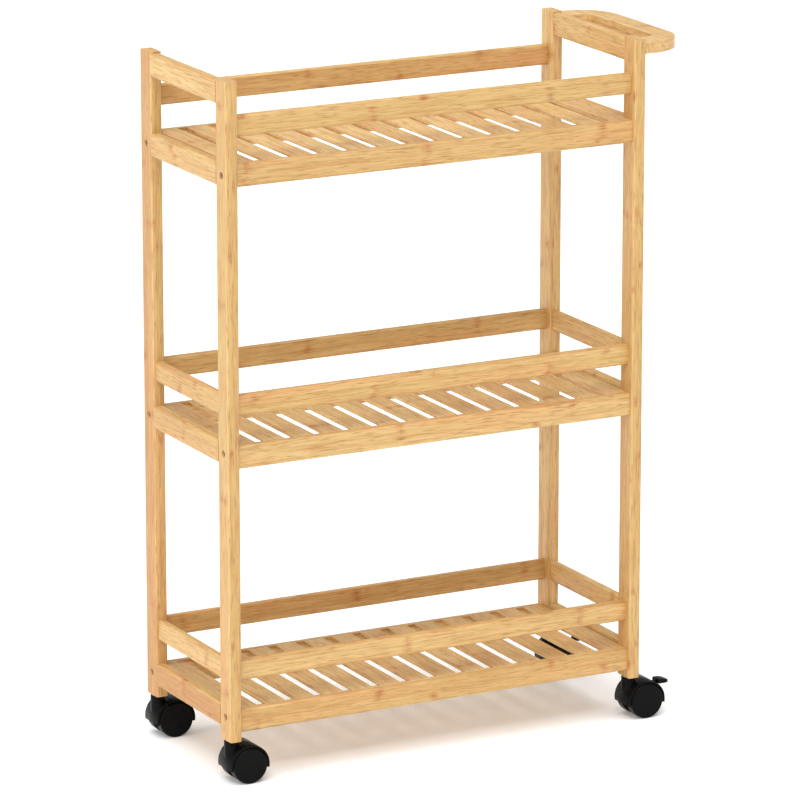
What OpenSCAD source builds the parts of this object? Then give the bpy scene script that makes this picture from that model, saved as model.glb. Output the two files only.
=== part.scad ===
// Bamboo rolling utility cart: three slatted shelves with guard rails, a pull handle and twin-wheel casters.
// +X runs along the cart towards the handle, +Y across it and +Z up. The floor is z = 0.
// The origin lies under the middle of the cart's bounding box.

/* [Frame] */
// Length over the outer faces of the posts
frame_l = 508; // [460:1:600]
// Width over the outer faces of the posts
frame_w = 210; // [200:1:300]
// Height of the posts' tops above the floor
frame_h = 772.5; // [765:0.5:850]
// Thickness of a post along the cart
post_t = 13.5; // [13:0.5:20]
// Width of a post across the cart
post_w = 26; // [26:0.5:32]
// Rounding of a post's long edges
post_r = 2; // [1:0.25:3]

/* [Shelves] */
// Underside of the bottom shelf's long rails above the floor
bottom_shelf_z = 57; // [57:1:90]
// Underside of the middle shelf's long rails above the floor
middle_shelf_z = 351; // [280:1:400]
// Underside of the top shelf's long rails above the floor
top_shelf_z = 658; // [600:1:664]
// Height of every shelf rail
rail_h = 25.5; // [25:0.5:30]
// Thickness of the long shelf rails
rail_t = 18; // [16:0.5:20]
// Thickness of the end rails and of the rails that close the frame's ends at the top
end_rail_t = 12; // [10:0.5:13]
// How far the end rails of the two lower shelves sit above the long rails
end_rail_lift = 4; // [0:0.5:6]
// Rounding of the rails' long edges
rail_r = 2.5; // [1:0.25:3]

/* [Slats] */
// Slats in one shelf
slat_count = 14; // [10:1:16]
// Width of a slat
slat_w = 25; // [18:0.5:27]
// Thickness of a slat
slat_t = 3; // [2.5:0.5:8]
// Rounding of a slat's long edges
slat_r = 1; // [0.5:0.1:1.2]
// How far each slat end lies on the ledge cut in the long rail
slat_bearing = 10; // [6:0.5:12]

/* [Guards] */
// Height of a guard rail
guard_h = 23.5; // [20:0.5:26]
// Thickness of a guard rail
guard_t = 8; // [7:0.5:10]
// Rounding of a guard rail's long edges
guard_r = 2.5; // [1:0.25:3]
// Underside of the two lower shelves' guards above the underside of their long rails
guard_rise = 56.5; // [50:0.5:90]
// Underside of the top shelf's guards above the underside of its long rails
top_guard_rise = 53.3; // [50:0.1:60]
// How far the rails that close the frame's ends lie below the posts' tops
top_rail_drop = 1.5; // [0.5:0.5:3]

/* [Handle] */
// How far the handle reaches out from the posts
handle_reach = 57; // [50:1:80]
// Width of the handle across the cart
handle_w = 204; // [180:1:204]
// Thickness of the handle board
handle_t = 12.6; // [10:0.1:16]
// Width of the bar that the hand closes around
grip_w = 27; // [20:1:34]
// Width of each leg that joins the bar to a post
handle_leg_w = 30; // [20:1:32]
// Radius of the handle's two outer corners
handle_corner_r = 45; // [20:1:48]
// Radius of the hand slot's corners
slot_corner_r = 9; // [5:1:16]
// How far the handle's top lies below the posts' tops
handle_drop = 4.5; // [3:0.5:8]

/* [Casters] */
// Wheel diameter
wheel_d = 40; // [38:0.5:41]
// Distance from the swivel axis to the wheel axle
caster_trail = 15; // [14:0.5:17]
// Height from the floor to the posts' undersides
caster_h = 48; // [47:0.5:52]
// Width over the outer faces of the two wheels
caster_w = 36; // [34:0.5:40]
// Outer radius of the hood
hood_r = 23; // [22.5:0.1:24]
// Height of the hood's lower edge above the floor
hood_edge_z = 16; // [12:0.5:18]

/* [Hidden] */
$fn = 64;
bamboo = "#e8b566";
bamboo_pale = "#f0c480";
nylon_black = "#1d1d1f";
steel_grey = "#a8abb0";
birch = "#dcc49a";

// Clearances: fixed pieces in their holes, turning pieces on their pins, and parts that pass each other
fixed_gap = 0.05;
running_gap = 0.05;
swing_gap = 0.3;
// How far a cutting shape runs past the face it cuts
over = 1;

// Shelf levels, bottom to top
shelf_z = [bottom_shelf_z, middle_shelf_z, top_shelf_z];
end_lift = [end_rail_lift, end_rail_lift, 0];
guard_z = [bottom_shelf_z + guard_rise, middle_shelf_z + guard_rise, top_shelf_z + top_guard_rise];
top_rail_z = frame_h - top_rail_drop - rail_h;

// Frame geometry
bay_l = frame_l - 2 * post_t;
bay_w = frame_w - 2 * post_w;
post_mid = post_w / 2;
rail_inset = (post_w - rail_t) / 2;
guard_inset = (post_w - guard_t) / 2;
end_guard_inset = (post_t - guard_t) / 2;
lip_t = rail_t - slat_bearing;
slat_l = frame_w - 2 * (rail_inset + lip_t);
slat_pitch = (bay_l - slat_w) / (slat_count - 1);

// Joinery
screw_head_d = 7.4;
screw_head_t = 2.2;
screw_recess = 2;
screw_d = 5;
screw_l = 44;
screw_hex = 3;
screw_hex_depth = 1.4;
screw_sink_d = 8;
rail_dowel_d = 5;
rail_dowel_drop = 8;
rail_dowel_in_post = 8;
rail_dowel_in_rail = 10;
end_dowel_d = 6;
end_dowel_step = 6.5;
end_dowel_in_post = 10;
end_dowel_in_rail = 12;
guard_dowel_d = 4;
guard_dowel_step = 6;
guard_dowel_in = 8;
handle_dowel_d = 8;
handle_dowel_y = 94;
handle_dowel_in_post = 9;
handle_dowel_in_handle = 13;

// Handle geometry
handle_z = frame_h - handle_drop - handle_t;
slot_w = handle_reach - grip_w;
slot_l = handle_w - 2 * handle_leg_w;

// Caster geometry, measured from the swivel axis and the floor
wheel_r = wheel_d / 2;
web_t = 8;
wheel_side_gap = 0.4;
wheel_in_y = web_t / 2 + wheel_side_gap;
wheel_t = caster_w / 2 - wheel_in_y;
wheel_edge_r = 2;
wheel_hub_r = 7;
wheel_pocket_r = 16;
wheel_pocket_depth = 9;
hood_wall = 2.1;
hood_in_r = hood_r - hood_wall;
hood_w = caster_w - 3;
axle_d = 5;
axle_l = 30;
axle_lobe_r = 10;
boss_r = 8;
boss_bottom_z = 28;
hood_top_z = caster_h - 1.5;
stem_flange_d = 13;
stem_flange_t = caster_h - hood_top_z - swing_gap;
stem_pin_d = 6;
stem_pin_bottom_z = 33.3;
stem_shank_d = 6.5;
stem_shank_l = 12;
socket_d = 9.4;
socket_l = 14;

// Brake lever, measured from the same point
pivot_x = 22;
pivot_z = 31;
trunnion_d = 3;
trunnion_l = 7.6;
lever_hub_r = 3.2;
lever_t = 4.4;
lever_link_h = 3.2;
brake_bar_d = 4;
brake_bar_l = 18;
brake_bar_x = 16;
brake_bar_z = 32;
tongue_x = 35.3;
tongue_z = 36.8;
tongue_l = 14.7;
tongue_w = 14;
tongue_t = 4.6;
tongue_corner_r = 6.5;
tongue_crown_r = 24;
tongue_crown_x = 4;
tongue_overlap = 3;

// Room for the lever in its hood
lever_slot_t = 5;
lever_room_x = 11;
lever_room_z = 24;
neck_slot_z = 27;
neck_slot_h = 12.5;
brake_window_d = 8;

// The box runs from the left hoods to the handle's outer edge
left_reach = frame_l / 2 - post_t / 2 + hood_r - caster_trail;
right_reach = frame_l / 2 + handle_reach;
box_mid_x = (right_reach - left_reach) / 2;

LEFT = -1;
RIGHT = 1;
FRONT = -1;
BACK = 1;
BOTTOM = 0;
MIDDLE = 1;
TOP = 2;

// Height of a shelf's screws: the middle of its end rails
function screw_z(level) = shelf_z[level] + end_lift[level] + rail_h / 2;

// Middle height of a shelf's guards
function guard_mid_z(level) = guard_z[level] + guard_h / 2;

// ---- Placing ----

// From the frame's own middle to the origin under the bounding box
module in_cart() { translate([-box_mid_x, 0, 0]) children(); }

// Corner frame: x and y run inwards from the outer corner of the post on that side
module at_corner(side, face) {
    in_cart() mirror([side == RIGHT ? 1 : 0, 0, 0]) mirror([0, face == BACK ? 1 : 0, 0])
        translate([-frame_l / 2, -frame_w / 2, 0]) children();
}

// Long side: x runs along the rails from the left posts and y inwards from the posts' outer faces
module at_long_side(face) {
    in_cart() mirror([0, face == BACK ? 1 : 0, 0]) translate([-bay_l / 2, -frame_w / 2, 0]) children();
}

// Swivel axis of a caster, at floor level; every caster trails towards the handle
module at_caster(side, face) {
    in_cart() translate([side * (frame_l - post_t) / 2, face * (frame_w - post_w) / 2, 0]) children();
}

module at_all_corners() {
    for (side = [LEFT, RIGHT], face = [FRONT, BACK]) at_corner(side, face) children();
}

// ---- Shapes that repeat ----

module rounded_rect(w, h, r) {
    square([w - 2 * r, h], center = true);
    square([w, h - 2 * r], center = true);
    for (x = [-1, 1], y = [-1, 1]) translate([x * (w / 2 - r), y * (h / 2 - r)]) circle(r);
}

// Board along X with rounded long edges; its first corner is at the origin
module board_x(l, t, h, r) {
    translate([0, t / 2, h / 2]) rotate([90, 0, 90]) linear_extrude(l) rounded_rect(t, h, r);
}

// Board along Y with rounded long edges; its first corner is at the origin
module board_y(l, t, h, r) {
    translate([t / 2, l, h / 2]) rotate([90, 0, 0]) linear_extrude(l) rounded_rect(t, h, r);
}

// Round peg or drilling along X, and along Y, starting at the origin
module peg_x(d, l) { rotate([0, 90, 0]) cylinder(d = d, h = l); }
module peg_y(d, l) { rotate([-90, 0, 0]) cylinder(d = d, h = l); }

// Round peg along Y, centred on the origin
module pin(d, l) { rotate([90, 0, 0]) cylinder(d = d, h = l, center = true); }

// ---- Joinery, in the corner frame; grow widens it into the holes it sits in ----

module screw(level, grow) {
    translate([screw_recess, post_mid, screw_z(level)]) {
        difference() {
            peg_x(screw_head_d + 2 * grow, screw_head_t);
            if (grow == 0) rotate([0, 90, 0]) translate([0, 0, -over])
                cylinder(d = screw_hex / cos(30), h = over + screw_hex_depth, $fn = 6);
        }
        translate([screw_head_t / 2, 0, 0]) peg_x(screw_d + 2 * grow, screw_l - screw_head_t / 2 + grow);
    }
}

module rail_dowel(level, grow) {
    translate([post_t - rail_dowel_in_post - grow, post_mid, screw_z(level) - rail_dowel_drop])
        peg_x(rail_dowel_d + 2 * grow, rail_dowel_in_post + rail_dowel_in_rail + 2 * grow);
}

module end_rail_dowel_pair(rail_mid_z, grow) {
    for (step = [-1, 1])
        translate([end_rail_t / 2, post_w - end_dowel_in_post - grow, rail_mid_z + step * end_dowel_step])
            peg_y(end_dowel_d + 2 * grow, end_dowel_in_post + end_dowel_in_rail + 2 * grow);
}

module all_end_rail_dowels(grow) {
    for (level = [BOTTOM, MIDDLE, TOP]) end_rail_dowel_pair(screw_z(level), grow);
    end_rail_dowel_pair(top_rail_z + rail_h / 2, grow);
}

module guard_dowel_pair(level, grow) {
    for (step = [-1, 1])
        translate([post_t - guard_dowel_in - grow, post_mid, guard_mid_z(level) + step * guard_dowel_step])
            peg_x(guard_dowel_d + 2 * grow, 2 * (guard_dowel_in + grow));
}

module end_guard_dowel_pair(level, grow) {
    for (step = [-1, 1])
        translate([post_t / 2, post_w - guard_dowel_in - grow, guard_mid_z(level) + step * guard_dowel_step])
            peg_y(guard_dowel_d + 2 * grow, 2 * (guard_dowel_in + grow));
}

module all_guard_dowels(grow) {
    for (level = [BOTTOM, MIDDLE, TOP]) guard_dowel_pair(level, grow);
    for (level = [BOTTOM, MIDDLE]) end_guard_dowel_pair(level, grow);
}

module handle_dowel(grow) {
    translate([-handle_dowel_in_handle - grow, frame_w / 2 - handle_dowel_y, handle_z + handle_t / 2])
        peg_x(handle_dowel_d + 2 * grow, handle_dowel_in_post + handle_dowel_in_handle + 2 * grow);
}

module stem_socket_blank(grow) {
    translate([post_t / 2, post_mid, caster_h - grow])
        cylinder(d = socket_d + 2 * grow, h = socket_l + 2 * grow);
}

// ---- Frame ----

module post(side, face) {
    color(bamboo) at_corner(side, face) difference() {
        translate([post_t / 2, post_mid, caster_h])
            linear_extrude(frame_h - caster_h) rounded_rect(post_t, post_w, post_r);
        for (level = [BOTTOM, MIDDLE, TOP]) {
            translate([-over, post_mid, screw_z(level)])
                peg_x(screw_sink_d, over + screw_recess + screw_head_t);
            screw(level, fixed_gap);
            rail_dowel(level, fixed_gap);
        }
        all_end_rail_dowels(fixed_gap);
        all_guard_dowels(fixed_gap);
        stem_socket_blank(fixed_gap);
        if (side == RIGHT) handle_dowel(fixed_gap);
    }
}

// Long rail of a shelf, with a ledge along its inner top edge for the slats
module shelf_rail(level, face) {
    color(bamboo) difference() {
        at_long_side(face) translate([0, rail_inset, shelf_z[level]]) difference() {
            board_x(bay_l, rail_t, rail_h, rail_r);
            translate([-over, lip_t, rail_h - slat_t]) cube([bay_l + 2 * over, rail_t, rail_h]);
        }
        for (side = [LEFT, RIGHT]) at_corner(side, face) {
            screw(level, fixed_gap);
            rail_dowel(level, fixed_gap);
        }
    }
}

module guard(level, face) {
    color(bamboo) difference() {
        at_long_side(face) translate([0, guard_inset, guard_z[level]])
            board_x(bay_l, guard_t, guard_h, guard_r);
        for (side = [LEFT, RIGHT]) at_corner(side, face) guard_dowel_pair(level, fixed_gap);
    }
}

module end_rail(level, side) {
    color(bamboo) difference() {
        at_corner(side, FRONT) translate([0, post_w, shelf_z[level] + end_lift[level]])
            board_y(bay_w, end_rail_t, rail_h, rail_r);
        for (face = [FRONT, BACK]) at_corner(side, face)
            end_rail_dowel_pair(screw_z(level), fixed_gap);
    }
}

module end_guard(level, side) {
    color(bamboo) difference() {
        at_corner(side, FRONT) translate([end_guard_inset, post_w, guard_z[level]])
            board_y(bay_w, guard_t, guard_h, guard_r);
        for (face = [FRONT, BACK]) at_corner(side, face) end_guard_dowel_pair(level, fixed_gap);
    }
}

module top_rail(side) {
    color(bamboo) difference() {
        at_corner(side, FRONT) translate([0, post_w, top_rail_z]) board_y(bay_w, end_rail_t, rail_h, rail_r);
        for (face = [FRONT, BACK]) at_corner(side, face)
            end_rail_dowel_pair(top_rail_z + rail_h / 2, fixed_gap);
    }
}

module slats(level) {
    color(bamboo_pale) in_cart() for (i = [0 : slat_count - 1])
        translate([-bay_l / 2 + i * slat_pitch, -slat_l / 2, shelf_z[level] + rail_h - slat_t])
            board_y(slat_l, slat_w, slat_t, slat_r);
}

// Outline that runs from x = 0 to reach and is w wide, with its two far corners rounded
module d_outline(reach, w, r) {
    translate([0, -w / 2]) square([reach - r, w]);
    translate([0, -w / 2 + r]) square([reach, w - 2 * r]);
    for (y = [-1, 1]) intersection() {
        translate([reach - r, y * (w / 2 - r)]) circle(r);
        translate([reach - r, -w / 2]) square([r, w]);
    }
}

// Flat board with a hand slot that is open towards the top rail
module pull_handle() {
    color(bamboo_pale) difference() {
        in_cart() translate([frame_l / 2, 0, handle_z]) linear_extrude(handle_t) difference() {
            d_outline(handle_reach, handle_w, handle_corner_r);
            translate([-over, 0]) d_outline(slot_w + over, slot_l, slot_corner_r);
        }
        for (face = [FRONT, BACK]) at_corner(RIGHT, face) handle_dowel(fixed_gap);
    }
}

// ---- Fasteners, one node for each kind ----

module rail_screws() {
    color(steel_grey) at_all_corners() for (level = [BOTTOM, MIDDLE, TOP]) screw(level, 0);
}

module rail_dowels() {
    color(birch) at_all_corners() for (level = [BOTTOM, MIDDLE, TOP]) rail_dowel(level, 0);
}

module end_rail_dowels() { color(birch) at_all_corners() all_end_rail_dowels(0); }

module guard_dowels() { color(birch) at_all_corners() all_guard_dowels(0); }

module handle_dowels() { color(birch) for (face = [FRONT, BACK]) at_corner(RIGHT, face) handle_dowel(0); }

module stem_sockets() {
    color(nylon_black) at_all_corners() difference() {
        stem_socket_blank(0);
        translate([post_t / 2, post_mid, caster_h - over])
            cylinder(d = stem_shank_d + 2 * fixed_gap, h = over + stem_shank_l + fixed_gap);
    }
}

// Shank up into the socket, a flange under the post and a plain pin that the hood turns on
module caster_stems() {
    color(steel_grey) for (side = [LEFT, RIGHT], face = [FRONT, BACK]) at_caster(side, face) {
        translate([0, 0, stem_pin_bottom_z]) cylinder(d = stem_pin_d, h = caster_h - stem_pin_bottom_z);
        translate([0, 0, caster_h - stem_flange_t]) {
            cylinder(d = stem_flange_d, h = stem_flange_t);
            cylinder(d = stem_shank_d, h = stem_flange_t + stem_shank_l);
        }
    }
}

// ---- Casters ----

// Cylinder along Y about the wheel axle
module axle_disc(r, w) {
    translate([caster_trail, 0, wheel_r]) pin(2 * r, w);
}

// Room in the web for the brake lever's hub, bar and neck, with the neck's way out through the hood
module lever_slot() {
    intersection() {
        axle_disc(hood_in_r, lever_slot_t);
        translate([lever_room_x, -lever_slot_t / 2, lever_room_z]) cube([hood_r, lever_slot_t, hood_r]);
    }
    translate([pivot_x, -lever_slot_t / 2, neck_slot_z]) cube([hood_r, lever_slot_t, neck_slot_h]);
    translate([pivot_x, 0, pivot_z]) pin(trunnion_d + 2 * running_gap, web_t + over);
    translate([brake_bar_x, 0, brake_bar_z]) pin(brake_window_d, web_t + over);
}

module caster_hood(side, face, braked) {
    color(nylon_black) at_caster(side, face) difference() {
        union() {
            difference() {
                union() {
                    axle_disc(hood_r, hood_w);
                    translate([0, 0, boss_bottom_z]) cylinder(r = boss_r, h = hood_top_z - boss_bottom_z);
                }
                translate([-wheel_d, -caster_w, -hood_r])
                    cube([3 * wheel_d, 2 * caster_w, hood_r + hood_edge_z]);
            }
            axle_disc(axle_lobe_r, web_t);
        }
        for (y = [-1, 1]) translate([0, y * (web_t + caster_w) / 2, 0]) axle_disc(hood_in_r, caster_w);
        axle_disc(axle_d / 2, 2 * web_t);
        translate([0, 0, stem_pin_bottom_z - swing_gap])
            cylinder(r = stem_pin_d / 2 + running_gap, h = hood_top_z);
        if (braked) lever_slot();
    }
}

module caster_axle(side, face) { color(steel_grey) at_caster(side, face) axle_disc(axle_d / 2, axle_l); }

// One wheel; away is +1 for the wheel on the +Y side of its hood and -1 for the other
module wheel(side, face, away) {
    bore_depth = axle_l / 2 - wheel_in_y + swing_gap;
    color(nylon_black) at_caster(side, face)
        translate([caster_trail, away * wheel_in_y, wheel_r]) rotate([-away * 90, 0, 0]) difference() {
            rotate_extrude() intersection() {
                translate([0, wheel_t / 2]) rounded_rect(wheel_d, wheel_t, wheel_edge_r);
                square([wheel_d, wheel_t]);
            }
            translate([0, 0, -over]) difference() {
                cylinder(r = wheel_pocket_r, h = over + wheel_pocket_depth);
                translate([0, 0, -over]) cylinder(r = wheel_hub_r, h = 3 * over + wheel_pocket_depth);
            }
            translate([0, 0, -over]) cylinder(r = axle_d / 2 + running_gap, h = over + bore_depth);
        }
}

// Foot lever: a tongue to press, a hub on two trunnions and a bar that reaches into both wheels
module brake_lever(side, face) {
    color(nylon_black) at_caster(side, face) {
        translate([pivot_x, 0, pivot_z]) {
            pin(2 * lever_hub_r, lever_t);
            pin(trunnion_d, trunnion_l);
        }
        translate([brake_bar_x, 0, brake_bar_z]) pin(brake_bar_d, brake_bar_l);
        lever_link(brake_bar_x, brake_bar_z, 0);
        lever_link(tongue_x, tongue_z, tongue_overlap);
        lever_tongue();
    }
}

// Straight link from the lever's hub to a point, running past it by extra
module lever_link(to_x, to_z, extra) {
    run = norm([to_x - pivot_x, to_z - pivot_z]);
    translate([pivot_x, 0, pivot_z]) rotate([0, -atan2(to_z - pivot_z, to_x - pivot_x), 0])
        translate([0, -lever_t / 2, -lever_link_h / 2]) cube([run + extra, lever_t, lever_link_h]);
}

// Rounded tongue, crowned so that it thins towards its tip
module lever_tongue() {
    intersection() {
        translate([tongue_x, 0, tongue_z - tongue_t / 2])
            linear_extrude(tongue_t) d_outline(tongue_l, tongue_w, tongue_corner_r);
        translate([tongue_x + tongue_crown_x, 0, tongue_z + tongue_t / 2 - tongue_crown_r])
            pin(2 * tongue_crown_r, tongue_w + over);
    }
}

// ---- Nodes ----

post(LEFT, FRONT);  // post_front_left
post(LEFT, BACK);  // post_back_left
post(RIGHT, FRONT);  // post_front_right
post(RIGHT, BACK);  // post_back_right
top_rail(LEFT);  // top_rail_left
top_rail(RIGHT);  // top_rail_right
end_rail(TOP, LEFT);  // end_rail_top_left
end_rail(TOP, RIGHT);  // end_rail_top_right
end_rail(MIDDLE, LEFT);  // end_rail_middle_left
end_rail(MIDDLE, RIGHT);  // end_rail_middle_right
end_rail(BOTTOM, LEFT);  // end_rail_bottom_left
end_rail(BOTTOM, RIGHT);  // end_rail_bottom_right
end_guard(MIDDLE, LEFT);  // end_guard_middle_left
end_guard(MIDDLE, RIGHT);  // end_guard_middle_right
end_guard(BOTTOM, LEFT);  // end_guard_bottom_left
end_guard(BOTTOM, RIGHT);  // end_guard_bottom_right
shelf_rail(TOP, FRONT);  // shelf_rail_top_front
shelf_rail(TOP, BACK);  // shelf_rail_top_back
shelf_rail(MIDDLE, FRONT);  // shelf_rail_middle_front
shelf_rail(MIDDLE, BACK);  // shelf_rail_middle_back
shelf_rail(BOTTOM, FRONT);  // shelf_rail_bottom_front
shelf_rail(BOTTOM, BACK);  // shelf_rail_bottom_back
guard(TOP, FRONT);  // guard_top_front
guard(TOP, BACK);  // guard_top_back
guard(MIDDLE, FRONT);  // guard_middle_front
guard(MIDDLE, BACK);  // guard_middle_back
guard(BOTTOM, FRONT);  // guard_bottom_front
guard(BOTTOM, BACK);  // guard_bottom_back
slats(TOP);  // slats_top
slats(MIDDLE);  // slats_middle
slats(BOTTOM);  // slats_bottom
pull_handle();
rail_screws();
rail_dowels();
end_rail_dowels();
guard_dowels();
handle_dowels();
stem_sockets();
caster_stems();
caster_hood(LEFT, FRONT, false);  // caster_hood_front_left
caster_axle(LEFT, FRONT);  // caster_axle_front_left
wheel(LEFT, FRONT, -1);  // wheel_front_left_outer
wheel(LEFT, FRONT, 1);  // wheel_front_left_inner
caster_hood(LEFT, BACK, false);  // caster_hood_back_left
caster_axle(LEFT, BACK);  // caster_axle_back_left
wheel(LEFT, BACK, 1);  // wheel_back_left_outer
wheel(LEFT, BACK, -1);  // wheel_back_left_inner
caster_hood(RIGHT, FRONT, true);  // caster_hood_front_right
caster_axle(RIGHT, FRONT);  // caster_axle_front_right
wheel(RIGHT, FRONT, -1);  // wheel_front_right_outer
wheel(RIGHT, FRONT, 1);  // wheel_front_right_inner
brake_lever(RIGHT, FRONT);  // brake_lever_front_right
caster_hood(RIGHT, BACK, true);  // caster_hood_back_right
caster_axle(RIGHT, BACK);  // caster_axle_back_right
wheel(RIGHT, BACK, 1);  // wheel_back_right_outer
wheel(RIGHT, BACK, -1);  // wheel_back_right_inner
brake_lever(RIGHT, BACK);  // brake_lever_back_right
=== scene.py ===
import math
import random

import bpy
from mathutils import Euler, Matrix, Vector


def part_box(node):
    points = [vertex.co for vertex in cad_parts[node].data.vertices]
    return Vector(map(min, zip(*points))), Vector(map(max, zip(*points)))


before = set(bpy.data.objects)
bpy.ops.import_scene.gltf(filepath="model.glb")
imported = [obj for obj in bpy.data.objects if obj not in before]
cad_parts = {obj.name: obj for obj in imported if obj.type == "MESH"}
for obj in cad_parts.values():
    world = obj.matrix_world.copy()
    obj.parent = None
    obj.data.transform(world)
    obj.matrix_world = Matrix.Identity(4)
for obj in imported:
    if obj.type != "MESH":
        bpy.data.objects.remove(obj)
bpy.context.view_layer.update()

MM = 0.001
X_AXIS, Y_AXIS, Z_AXIS = 0, 1, 2

# ---------------------------------------------------------------- camera and light

# Camera: place and reach in metres, turn from +Y towards +X and tilt below the horizon in degrees, lens and
# sensor in mm
CAMERA_AT = Vector((-2.8653, -5.3802, 1.9675))
CAMERA_TURN = 27.867
CAMERA_TILT = 14.674
CAMERA_LENS = 257.8
CAMERA_SENSOR = 36
CAMERA_REACH = 200

# Studio light: a white sky, and soft distant lamps as (turn, height, power, spread), in degrees and W/m2
SKY_STRENGTH = 0.57
SUNS = {
    "key": (50, 52, 0.75, 80),
    "left": (86, 12, 0.85, 50),
    "top": (20, 78, 1.65, 60),
    "spark": (32, 46, 0.42, 9),
}

# Floor: a wide matt sheet with a faint glow of its own, painted light that pales its shadow and
# lights the cart from below. Clouds are in cycles per metre, with the noise values that they run between,
# and relief is a strength and a depth
FLOOR_HALF = 60.0
# Strength of the floor's painted glow
FLOOR_GLOW = 0.12
FLOOR_WHITES = ((0.93, 0.93, 0.925, 1.0), (0.95, 0.95, 0.945, 1.0))
FLOOR_CLOUDS = 3.0
FLOOR_CLOUD_VALUES = (0.3, 0.7)
FLOOR_ROUGHNESS = 0.9
FLOOR_RELIEF = (0.02, 1.0 * MM)
FLOOR_SHEEN = 0.1
WHITE = (1.0, 1.0, 1.0, 1.0)

# ---------------------------------------------------------------- edges

# Softened edges of the wooden, moulded and steel pieces
WOOD_EDGE = 0.5 * MM
PLASTIC_EDGE = 0.45 * MM
STEEL_EDGE = 0.2 * MM
EDGE_SEGMENTS = 2
SHARP_ANGLE = 40
WELD_DISTANCE = 0.002 * MM

# ---------------------------------------------------------------- bamboo

BAMBOO_BASE = "#CBA768"
BAMBOO_PALE = "#DDBC80"
BAMBOO_AMBER = "#B88448"
BAMBOO_BLUSH = "#D69D63"
BAMBOO_KNOT = "#A85A26"
BAMBOO_FIBRE = "#8F6B39"

# Slats on each shelf, and the width of one
SLAT_COUNT = 14
SLAT_WIDTH = 25 * MM

# Strips are glued side by side and in layers. A strip's edge wanders by this much, at this many cycles per
# metre along it
STRIP_WIDTH = 21 * MM
STRIP_WANDER = 1.5 * MM
WANDER_CYCLES = 6.0
LAYER_DEPTH = 4.9 * MM

# Where each piece was cut from its board: distances drawn along and across the fibres, in metres. Seeds count
# up from the first, and the random shades of strips come round again after a cycle of seeds
CUT_ALONG = (3, 9)
CUT_ACROSS = (2, 3)
FIRST_SEED = 100
SEED_CYCLE = 17

# Patterns in the grain: cycles per metre along and across the fibres, then detail, roughness and distortion
GRAIN_PATTERNS = {
    "fibres": (26.0, 760.0, 2.5, 0.6, 0.0),
    "dashes": (60.0, 820.0, 1.5, 0.5, 0.0),
    "blush": (4.0, 45.0, 2.0, 0.5, 0.0),
    "streaks": (8.0, 230.0, 2.0, 0.6, 0.5),
    "mottle": (14.0, 42.0, 3.0, 0.6, 0.0),
    "bend": (20.0, 85.0, 2.0, 0.5, 0.0),
    "patch": (46.0, 195.5, 3.0, 0.5, 0.0),
}

# Colours laid over the base: pattern, the values that it runs between, the share at each, and the colour
GRAIN_LAYERS = (
    ("shade", (0.0, 1.0), (0.0, 0.62), BAMBOO_PALE),
    ("warmth", (0.45, 1.0), (0.0, 0.34), BAMBOO_AMBER),
    ("mottle", (0.42, 0.70), (0.0, 0.30), BAMBOO_AMBER),
    ("blush", (0.48, 0.68), (0.0, 0.50), BAMBOO_BLUSH),
    ("streaks", (0.46, 0.70), (0.0, 0.55), BAMBOO_AMBER),
    ("fibres", (0.28, 0.50), (0.55, 0.0), BAMBOO_PALE),
    ("fibres", (0.50, 0.72), (0.0, 0.68), BAMBOO_AMBER),
    ("dashes", (0.54, 0.70), (0.0, 0.52), BAMBOO_FIBRE),
)

# Nodes: how far apart, how much the mark bends as a share of that, where its smudge and its thin line fade
# out, and how strongly each part of the mark shows
NODE_SPACING = 215 * MM
NODE_BEND = 0.045
SMUDGE_FADE = (1.0 * MM, 9.0 * MM)
LINE_FADE = (0.3 * MM, 1.1 * MM)
PATCH_FADE = (0.38, 0.68)
PATCH_SHARE = 0.80
SMUDGE_SHARE = 0.10
LINE_SHARE = 0.28
KNOT_FIBRES = (0.38, 0.60)
KNOT_FIBRE_SHARES = (0.55, 1.0)
KNOT_SHARE = 0.80

# Glue between layers: from the middle of a layer, as a share of its depth, and how dark the line is
GLUE_FADE = (0.455, 0.495)
GLUE_SHARE = 0.40

# Lacquer: roughness with the part of it that follows the fibres, and relief
LACQUER_ROUGHNESS = 0.40
FIBRE_ROUGHNESS = 0.22
FIBRE_RELIEF = 0.6
STREAK_RELIEF = 0.8
NODE_RELIEF = 0.5
RELIEF_STRENGTH = 0.35
RELIEF_DEPTH = 0.12 * MM
LACQUER = {"Coat_Weight": 0.12, "Coat_Roughness": 0.32, "Specular_IOR_Level": 0.42}

# ---------------------------------------------------------------- other materials

# Noise scales are in cycles per metre. A share or a roughness is the noise values that it runs between, then
# what it is at each. Relief is a strength and a depth
PLASTIC_COLOURS = ("#090909", "#0E0E0E", "#161616")
PLASTIC_CLOUDS = 60.0
PLASTIC_CLOUD_SHARE = (0.35, 0.7, 0.0, 0.5)
PLASTIC_GRAIN = 1900.0
PLASTIC_GRAIN_SHARE = (0.55, 0.75, 0.0, 0.25)
PLASTIC_ROUGHNESS = (0.3, 0.75, 0.26, 0.38)
PLASTIC_RELIEF = (0.25, 0.06 * MM)
PLASTIC_SHEEN = 0.08

STEEL_COLOURS = ("#B9BABC", "#9C9DA0")
STEEL_BRUSHING = 900.0
STEEL_BRUSH_SQUEEZE = 60.0
STEEL_CLOUDS = 240.0
STEEL_CLOUD_SHARE = (0.35, 0.7, 0.0, 1.0)
STEEL_ROUGHNESS = (0.3, 0.7, 0.26, 0.42)
STEEL_RELIEF = (0.12, 0.04 * MM)

DOWEL_COLOURS = ("#DCC49A", "#B99463")
DOWEL_FLECKS = 700.0
DOWEL_FLECK_SHARE = (0.45, 0.7, 0.0, 0.5)
DOWEL_ROUGHNESS = (0.3, 0.7, 0.55, 0.7)
DOWEL_RELIEF = (0.3, 0.1 * MM)


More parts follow.
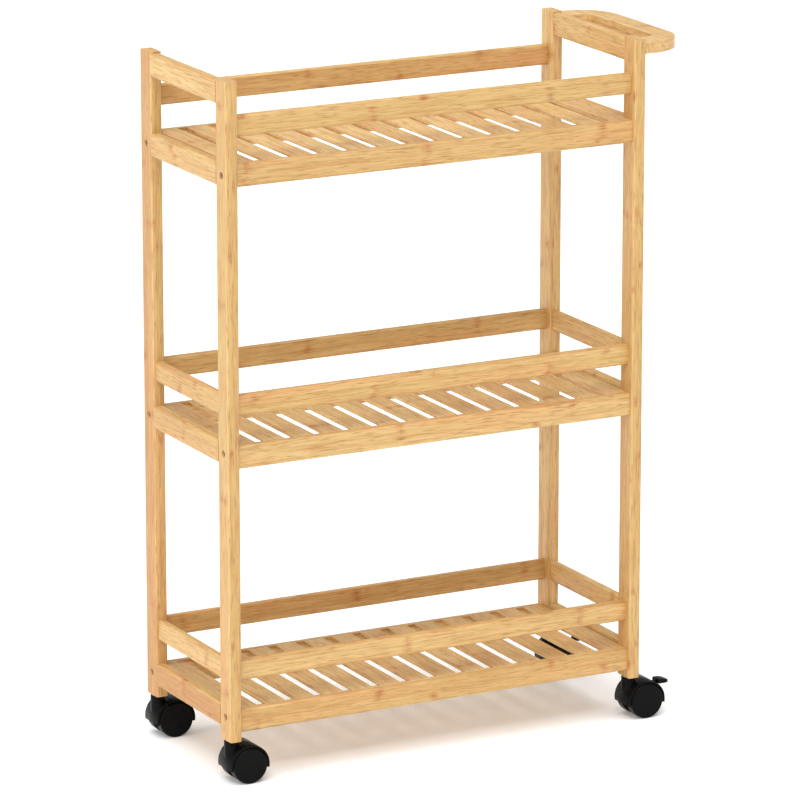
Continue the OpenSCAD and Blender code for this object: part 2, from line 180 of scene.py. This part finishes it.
def srgb(code):
    """Linear colour, with full cover, for a #RRGGBB code."""
    parts = [int(code[i : i + 2], 16) / 255 for i in (1, 3, 5)]
    linear = [p / 12.92 if p <= 0.04045 else ((p + 0.055) / 1.055) ** 2.4 for p in parts]
    return (*linear, 1.0)


# ---------------------------------------------------------------- node helpers


class Shader:
    """A new node material, with short calls that add nodes and wire them up."""

    def __init__(self, name):
        self.material = bpy.data.materials.new(name)
        self.material.use_nodes = True
        self.tree = self.material.node_tree
        self.surface = self.tree.nodes["Principled BSDF"]

    def add(self, kind, inputs=None, **settings):
        made = self.tree.nodes.new(kind)
        for key, value in settings.items():
            setattr(made, key, value)
        for socket, value in (inputs or {}).items():
            self.plug(made.inputs[socket], value)
        return made

    def plug(self, socket, value):
        if isinstance(value, bpy.types.NodeSocket):
            self.tree.links.new(value, socket)
        else:
            socket.default_value = value

    def place(self):
        return self.add("ShaderNodeTexCoord").outputs["Object"]

    def split(self, vector):
        return self.add("ShaderNodeSeparateXYZ", {"Vector": vector}).outputs

    def maths(self, operation, *values, clamp=False):
        made = self.add("ShaderNodeMath", dict(enumerate(values)), operation=operation, use_clamp=clamp)
        return made.outputs[0]

    def vector(self, x, y, z):
        return self.add("ShaderNodeCombineXYZ", {"X": x, "Y": y, "Z": z}).outputs[0]

    def noise(self, at, scale, detail=2.0, roughness=0.5, distortion=0.0):
        inputs = {"Vector": at, "Scale": scale, "Detail": detail, "Roughness": roughness}
        return self.add("ShaderNodeTexNoise", {**inputs, "Distortion": distortion}).outputs["Fac"]

    def random_at(self, at):
        return self.add("ShaderNodeTexWhiteNoise", {"Vector": at}, noise_dimensions="3D").outputs

    def ramp(self, value, low, high, to_low=0.0, to_high=1.0):
        """Smooth step of value from low..high to to_low..to_high."""
        inputs = {"Value": value, "From Min": low, "From Max": high, "To Min": to_low, "To Max": to_high}
        return self.add("ShaderNodeMapRange", inputs, interpolation_type="SMOOTHSTEP").outputs[0]

    def mix(self, amount, first, second):
        made = self.add("ShaderNodeMix", data_type="RGBA")
        factor, colour_a, colour_b = made.inputs[0], made.inputs[6], made.inputs[7]
        self.plug(factor, amount)
        self.plug(colour_a, first)
        self.plug(colour_b, second)
        return made.outputs[2]

    def bump(self, height, strength, distance):
        inputs = {"Height": height, "Strength": strength, "Distance": distance}
        return self.add("ShaderNodeBump", inputs).outputs[0]

    def finish(self, colour, roughness, normal, **constants):
        self.plug(self.surface.inputs["Base Color"], colour)
        self.plug(self.surface.inputs["Roughness"], roughness)
        self.plug(self.surface.inputs["Normal"], normal)
        for socket, value in constants.items():
            self.surface.inputs[socket.replace("_", " ")].default_value = value
        return self.material


# ---------------------------------------------------------------- materials


def stretched(s, point, run_cycles, cross_cycles):
    """The point with its part along the fibres and the two across them scaled to cycles."""
    cycles = (run_cycles, cross_cycles, cross_cycles)
    return s.vector(*(s.maths("MULTIPLY", part, count) for part, count in zip(point, cycles)))


def strip_randoms(s, point, across_at, seed, slats):
    """Three random numbers that are the same all over one strip of one layer, or over one slat."""
    run, side, deep = point
    layer = s.maths("FLOOR", s.maths("DIVIDE", deep, LAYER_DEPTH))
    if slats:
        start, pitch = slats
        column = s.maths("FLOOR", s.maths("DIVIDE", s.maths("SUBTRACT", across_at, start), pitch))
    else:
        wander = s.noise(s.vector(s.maths("MULTIPLY", run, WANDER_CYCLES), 0.0, 0.0), 1.0)
        shift = s.maths("MULTIPLY", s.random_at(s.vector(layer, 0.5, 0.5))["Value"], STRIP_WIDTH)
        edge = s.maths("ADD", s.maths("ADD", side, shift), s.maths("MULTIPLY", wander, STRIP_WANDER))
        column = s.maths("FLOOR", s.maths("DIVIDE", edge, STRIP_WIDTH))
    cell = s.vector(column, layer, seed % SEED_CYCLE + 0.5)
    return s.split(s.random_at(cell)["Color"])


def node_marks(s, run, phase, patterns):
    """A strip's nodes: how strongly a point belongs to one, and to the thin line across it."""
    along = s.maths("FRACT", s.maths("ADD", s.maths("DIVIDE", run, NODE_SPACING), phase))
    bend = s.maths("MULTIPLY", s.maths("SUBTRACT", patterns["bend"], 0.5), NODE_BEND)
    offset = s.maths("ADD", s.maths("SUBTRACT", along, 0.5), bend)
    distance = s.maths("MULTIPLY", s.maths("ABSOLUTE", offset), NODE_SPACING)
    smudge = s.ramp(distance, *SMUDGE_FADE, 1.0, 0.0)
    line = s.ramp(distance, *LINE_FADE, 1.0, 0.0)
    patch = s.maths("MULTIPLY", s.ramp(patterns["patch"], *PATCH_FADE), PATCH_SHARE)
    knot = s.maths("MULTIPLY", smudge, s.maths("ADD", patch, SMUDGE_SHARE))
    knot = s.maths("ADD", knot, s.maths("MULTIPLY", line, LINE_SHARE), clamp=True)
    knot = s.maths("MULTIPLY", knot, s.ramp(patterns["fibres"], *KNOT_FIBRES, *KNOT_FIBRE_SHARES))
    return knot, line


def bamboo(name, along, across, seed, base, slats=None):
    """Lacquered laminated bamboo, its fibres running along one axis.

    along and across are axis numbers; layers are stacked along the third axis. seed shifts the pattern so
    that no two pieces match. slats is where the first slat's share starts, and the slats' pitch; with it,
    each slat has its own shade.
    """
    s = Shader(name)
    chance = random.Random(seed)
    axes = s.split(s.place())
    stacked = X_AXIS + Y_AXIS + Z_AXIS - along - across
    run = s.maths("ADD", axes[along], chance.uniform(*CUT_ALONG))
    side = s.maths("ADD", axes[across], chance.uniform(*CUT_ACROSS))
    deep = s.maths("ADD", axes[stacked], chance.uniform(*CUT_ACROSS))
    point = (run, side, deep)

    patterns = {}
    for pattern, (run_cycles, cross_cycles, *settings) in GRAIN_PATTERNS.items():
        patterns[pattern] = s.noise(stretched(s, point, run_cycles, cross_cycles), 1.0, *settings)
    phase, patterns["shade"], patterns["warmth"] = strip_randoms(s, point, axes[across], seed, slats)

    colour = srgb(base)
    for pattern, values, shares, tint in GRAIN_LAYERS:
        colour = s.mix(s.ramp(patterns[pattern], *values, *shares), colour, srgb(tint))
    knot, line = node_marks(s, run, phase, patterns)
    colour = s.mix(s.maths("MULTIPLY", knot, KNOT_SHARE), colour, srgb(BAMBOO_KNOT))

    # Layers meet in a hair line
    in_layer = s.maths("FRACT", s.maths("DIVIDE", deep, LAYER_DEPTH))
    glue_line = s.ramp(s.maths("ABSOLUTE", s.maths("SUBTRACT", in_layer, 0.5)), *GLUE_FADE)
    colour = s.mix(s.maths("MULTIPLY", glue_line, GLUE_SHARE), colour, srgb(BAMBOO_KNOT))

    # The lacquer follows the fibres a little, and dips at a node
    rough = s.maths("ADD", LACQUER_ROUGHNESS, s.maths("MULTIPLY", patterns["fibres"], FIBRE_ROUGHNESS))
    fibre_height = s.maths("MULTIPLY", patterns["fibres"], FIBRE_RELIEF)
    streak_height = s.maths("MULTIPLY", patterns["streaks"], STREAK_RELIEF)
    dip = s.maths("MULTIPLY", line, NODE_RELIEF)
    height = s.maths("SUBTRACT", s.maths("ADD", fibre_height, streak_height), dip)
    return s.finish(colour, rough, s.bump(height, RELIEF_STRENGTH, RELIEF_DEPTH), **LACQUER)


def black_plastic():
    """Moulded nylon: near black, finely textured, faintly cloudy."""
    s = Shader("black_plastic")
    place = s.place()
    grain = s.noise(place, PLASTIC_GRAIN, detail=2.0, roughness=0.6)
    cloud = s.noise(place, PLASTIC_CLOUDS, detail=3.0)
    dark, middle, pale = (srgb(code) for code in PLASTIC_COLOURS)
    colour = s.mix(s.ramp(cloud, *PLASTIC_CLOUD_SHARE), dark, middle)
    colour = s.mix(s.ramp(grain, *PLASTIC_GRAIN_SHARE), colour, pale)
    rough = s.ramp(cloud, *PLASTIC_ROUGHNESS)
    normal = s.bump(grain, *PLASTIC_RELIEF)
    return s.finish(colour, rough, normal, Specular_IOR_Level=PLASTIC_SHEEN)


def zinc_steel():
    """Zinc-plated steel with a fine brushed grain and slight cloudiness."""
    s = Shader("zinc_steel")
    place = s.place()
    parts = s.split(place)
    across_brush = s.maths("MULTIPLY", parts[X_AXIS], STEEL_BRUSH_SQUEEZE)
    brushed = s.noise(s.vector(across_brush, parts[Y_AXIS], parts[Z_AXIS]), STEEL_BRUSHING, detail=2.0)
    cloud = s.noise(place, STEEL_CLOUDS, detail=3.0)
    bright, dull = (srgb(code) for code in STEEL_COLOURS)
    colour = s.mix(s.ramp(cloud, *STEEL_CLOUD_SHARE), bright, dull)
    rough = s.ramp(cloud, *STEEL_ROUGHNESS)
    normal = s.bump(brushed, *STEEL_RELIEF)
    return s.finish(colour, rough, normal, Metallic=1.0)


def dowel_wood():
    """Plain beech dowel, paler than the bamboo."""
    s = Shader("dowel_wood")
    flecks = s.noise(s.place(), DOWEL_FLECKS, detail=3.0, roughness=0.6)
    pale, fleck = (srgb(code) for code in DOWEL_COLOURS)
    colour = s.mix(s.ramp(flecks, *DOWEL_FLECK_SHARE), pale, fleck)
    return s.finish(colour, s.ramp(flecks, *DOWEL_ROUGHNESS), s.bump(flecks, *DOWEL_RELIEF))


def floor_paint():
    """Matt white with a faint glow, painted light that lights the cart from below."""
    s = Shader("studio_floor")
    cloud = s.noise(s.place(), FLOOR_CLOUDS)
    colour = s.mix(s.ramp(cloud, *FLOOR_CLOUD_VALUES), *FLOOR_WHITES)
    # The emission is painted light: the floor glows though it is no lamp
    light = {"Emission_Color": WHITE, "Emission_Strength": FLOOR_GLOW, "Specular_IOR_Level": FLOOR_SHEEN}
    return s.finish(colour, FLOOR_ROUGHNESS, s.bump(cloud, *FLOOR_RELIEF), **light)


# ---------------------------------------------------------------- dressing the CAD nodes


def soften(piece, width):
    """Rounds the piece's sharp edges a little, on modifiers only."""
    weld = piece.modifiers.new("weld", "WELD")
    weld.merge_threshold = WELD_DISTANCE
    bevel = piece.modifiers.new("bevel", "BEVEL")
    bevel.width = width
    bevel.segments = EDGE_SEGMENTS
    bevel.limit_method = "ANGLE"
    bevel.angle_limit = math.radians(SHARP_ANGLE)
    bevel.harden_normals = True
    bevel.use_clamp_overlap = True


def wear(piece, material):
    piece.data.materials.clear()
    piece.data.materials.append(material)


def timber_grain(name):
    """The axes that a timber node's fibres run along and its strips lie across."""
    if name.startswith("post"):
        return Z_AXIS, Y_AXIS
    if name.startswith(("shelf_rail", "guard")):
        return X_AXIS, Z_AXIS
    if name.startswith(("slats", "pull_handle")):
        return Y_AXIS, X_AXIS
    return Y_AXIS, Z_AXIS


def slat_shares():
    """Where the first slat's share of the shelf starts, half a gap before it, and the slats' pitch."""
    low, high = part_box("slats_top")
    pitch = (high[0] - low[0] - SLAT_WIDTH) / (SLAT_COUNT - 1)
    return low[0] - (pitch - SLAT_WIDTH) / 2, pitch


def dress_timber():
    starts = ("post", "top_rail", "end_rail_", "end_guard", "shelf_rail", "guard_", "slats", "pull_handle")
    names = [n for n in sorted(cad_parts) if n.startswith(starts) and not n.endswith("dowels")]
    shares = slat_shares()
    for seed, name in enumerate(names, FIRST_SEED):
        along, across = timber_grain(name)
        base = BAMBOO_PALE if name.startswith(("slats", "pull_handle")) else BAMBOO_BASE
        slats = shares if name.startswith("slats") else None
        wear(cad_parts[name], bamboo("bamboo_" + name, along, across, seed, base, slats))
        soften(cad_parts[name], WOOD_EDGE)


def dress_hardware():
    plastic, steel, dowel = black_plastic(), zinc_steel(), dowel_wood()
    for name, piece in sorted(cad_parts.items()):
        if name.endswith("dowels"):
            wear(piece, dowel)
        elif name.startswith(("caster_hood", "wheel", "brake_lever", "stem_sockets")):
            wear(piece, plastic)
            soften(piece, PLASTIC_EDGE)
        elif name.startswith(("rail_screws", "caster_stems", "caster_axle")):
            wear(piece, steel)
            soften(piece, STEEL_EDGE)


# ---------------------------------------------------------------- studio


def add_sun(name, turn, height, power, spread):
    """A distant lamp: turn is degrees from -Y towards -X, height is degrees above the floor."""
    data = bpy.data.lights.new(name, "SUN")
    data.energy = power
    data.angle = math.radians(spread)
    lamp = bpy.data.objects.new(name, data)
    a, e = math.radians(turn), math.radians(height)
    towards = Vector((-math.sin(a) * math.cos(e), -math.cos(a) * math.cos(e), math.sin(e)))
    lamp.rotation_euler = (-towards).to_track_quat("-Z", "Y").to_euler()
    bpy.context.scene.collection.objects.link(lamp)


def build_floor():
    h = FLOOR_HALF
    mesh = bpy.data.meshes.new("floor")
    mesh.from_pydata([(-h, -h, 0), (h, -h, 0), (h, h, 0), (-h, h, 0)], [], [(0, 1, 2, 3)])
    mesh.materials.append(floor_paint())
    floor = bpy.data.objects.new("floor", mesh)
    bpy.context.scene.collection.objects.link(floor)


def build_studio():
    world = bpy.data.worlds.new("studio")
    world.use_nodes = True
    sky = world.node_tree.nodes["Background"]
    sky.inputs["Color"].default_value = WHITE
    sky.inputs["Strength"].default_value = SKY_STRENGTH
    bpy.context.scene.world = world
    build_floor()
    for name, settings in SUNS.items():
        add_sun(name, *settings)


def build_camera():
    data = bpy.data.cameras.new("camera")
    data.sensor_width = CAMERA_SENSOR
    data.lens = CAMERA_LENS
    data.clip_end = CAMERA_REACH
    camera = bpy.data.objects.new("camera", data)
    camera.location = CAMERA_AT
    camera.rotation_euler = Euler((math.radians(90 - CAMERA_TILT), 0, math.radians(-CAMERA_TURN)), "XYZ")
    bpy.context.scene.collection.objects.link(camera)
    bpy.context.scene.camera = camera


dress_timber()
dress_hardware()
build_studio()
build_camera()
bpy.context.scene.view_settings.view_transform = "Standard"
bpy.context.scene.view_settings.look = "None"

bpy.context.view_layer.update()
